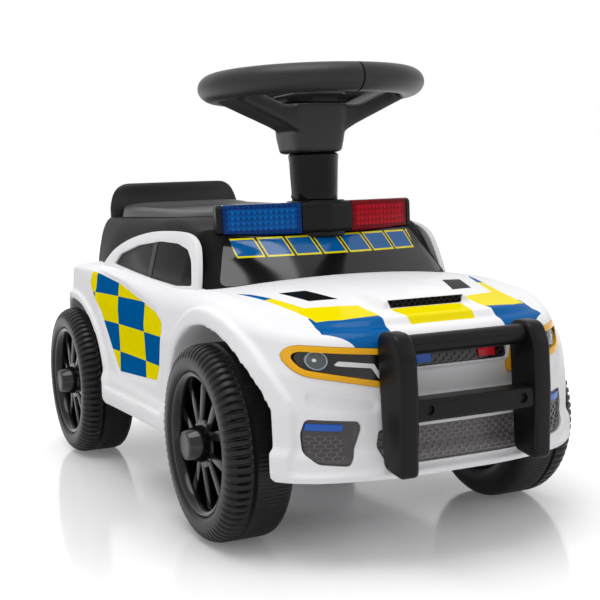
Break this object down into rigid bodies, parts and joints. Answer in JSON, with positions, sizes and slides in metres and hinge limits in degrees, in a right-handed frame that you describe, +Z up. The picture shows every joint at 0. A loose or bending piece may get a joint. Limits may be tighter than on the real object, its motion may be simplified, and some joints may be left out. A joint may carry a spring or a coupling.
{
  "type": "ride-on toy car",
  "caption": "Toddler foot-to-floor ride-on patrol car: steering wheel linked to the front wheels, lifting seat over a storage tub, light bar and bull bar.",
  "frame": {"origin": "on the floor under the middle of the car's overall box", "axes": "+Y towards the tail, so the car faces -Y; +X to the car's left; +Z up"},
  "size_m": [0.314, 0.646, 0.36],
  "materials": {
    "white_plastic": "gloss",
    "black_plastic": "satin",
    "gloss_black": "gloss",
    "tyre_plastic": "satin",
    "grey_plastic": "satin",
    "amber_trim": "gloss",
    "blue_lens": "gloss",
    "red_lens": "gloss",
    "steel": "zinc plated"
  },
  "bodies": {
    "chassis": {"body_shell": "white_plastic", "front_bumper": "white_plastic", "headlamp_trim_left": "amber_trim", "headlamp_trim_right": "amber_trim", "headlamp_left": "gloss_black", "headlamp_right": "gloss_black", "fog_lamp_left": "grey_plastic", "fog_lamp_right": "grey_plastic", "tail_lamp_left": "red_lens", "tail_lamp_right": "red_lens", "upper_grille": "black_plastic", "lower_grille": "grey_plastic", "scoop_grille": "black_plastic", "cabin_top": "black_plastic", "windscreen": "gloss_black", "side_window_left": "gloss_black", "side_window_right": "gloss_black", "storage_tub": "black_plastic", "hinge_pin": "steel", "seat_backrest": "black_plastic", "floor_pan": "white_plastic", "battery_box": "black_plastic", "battery_cover": "grey_plastic", "axle_beam": "black_plastic", "rear_axle": "steel", "column_bush": "grey_plastic", "light_bar_base": "black_plastic", "light_lens_red": "red_lens", "light_lens_blue": "blue_lens", "lamp_strip_left": "white_plastic", "lamp_strip_right": "white_plastic", "bull_bar_post_left": "black_plastic", "bull_bar_post_right": "black_plastic", "bull_bar_tube": "black_plastic", "bull_bar_plate": "black_plastic"},
    "steering": {"steering_wheel": "black_plastic", "steering_column": "black_plastic", "steering_shaft": "steel", "hub_cover": "black_plastic", "sound_module": "grey_plastic"},
    "knuckle_left": {"knuckle_left": "steel"},
    "knuckle_right": {"knuckle_right": "steel"},
    "steering_link": {"steering_link": "steel"},
    "seat_lid": {"seat_lid": "black_plastic"},
    "horn_button": {"horn_button": "blue_lens"},
    "music_button_left": {"music_button_left": "blue_lens"},
    "music_button_right": {"music_button_right": "blue_lens"},
    "wheel_front_left": {"tyre_front_left": "tyre_plastic", "rim_front_left": "gloss_black", "hub_cap_front_left": "black_plastic"},
    "wheel_front_right": {"tyre_front_right": "tyre_plastic", "rim_front_right": "gloss_black", "hub_cap_front_right": "black_plastic"},
    "wheel_rear_left": {"tyre_rear_left": "tyre_plastic", "rim_rear_left": "gloss_black", "hub_cap_rear_left": "black_plastic"},
    "wheel_rear_right": {"tyre_rear_right": "tyre_plastic", "rim_rear_right": "gloss_black", "hub_cap_rear_right": "black_plastic"}
  },
  "joints": [
    {"name": "steering_turn", "type": "hinge", "parent": "chassis", "child": "steering", "pos_m": [0, -0.081, 0.2], "axis": [0, 0, 1], "range_deg": [-20, 20]},
    {"name": "knuckle_left_turn", "type": "hinge", "parent": "chassis", "child": "knuckle_left", "pos_m": [0.084, -0.163, 0.075], "axis": [0, 0, 1], "range_deg": [-20, 20]},
    {"name": "knuckle_right_turn", "type": "hinge", "parent": "chassis", "child": "knuckle_right", "pos_m": [-0.084, -0.163, 0.075], "axis": [0, 0, 1], "range_deg": [-20, 20]},
    {"name": "link_pivot", "type": "hinge", "parent": "knuckle_right", "child": "steering_link", "pos_m": [-0.084, -0.193, 0.0675], "axis": [0, 0, 1], "range_deg": [-20, 20]},
    {"name": "seat_lift", "type": "hinge", "parent": "chassis", "child": "seat_lid", "pos_m": [0, 0.26, 0.246], "axis": [-1, 0, 0], "range_deg": [0, 75]},
    {"name": "wheel_front_left_spin", "type": "hinge", "parent": "knuckle_left", "child": "wheel_front_left", "pos_m": [0, -0.163, 0.075], "axis": [1, 0, 0], "continuous": true},
    {"name": "wheel_front_right_spin", "type": "hinge", "parent": "knuckle_right", "child": "wheel_front_right", "pos_m": [0, -0.163, 0.075], "axis": [1, 0, 0], "continuous": true},
    {"name": "wheel_rear_left_spin", "type": "hinge", "parent": "chassis", "child": "wheel_rear_left", "pos_m": [0, 0.215, 0.075], "axis": [1, 0, 0], "continuous": true},
    {"name": "wheel_rear_right_spin", "type": "hinge", "parent": "chassis", "child": "wheel_rear_right", "pos_m": [0, 0.215, 0.075], "axis": [1, 0, 0], "continuous": true},
    {"name": "horn_button_press", "type": "slide", "parent": "steering", "child": "horn_button", "axis": [0, 0, -1], "range_m": [0, 0.0025], "stiffness_N_per_m": 250},
    {"name": "music_button_left_press", "type": "slide", "parent": "steering", "child": "music_button_left", "axis": [0, 0, -1], "range_m": [0, 0.0025], "stiffness_N_per_m": 250},
    {"name": "music_button_right_press", "type": "slide", "parent": "steering", "child": "music_button_right", "axis": [0, 0, -1], "range_m": [0, 0.0025], "stiffness_N_per_m": 250}
  ],
  "couplings": [
    {"joint": "knuckle_left_turn", "follows": "steering_turn", "ratio": 1},
    {"joint": "knuckle_right_turn", "follows": "steering_turn", "ratio": 1},
    {"joint": "link_pivot", "follows": "steering_turn", "ratio": -1}
  ]
}
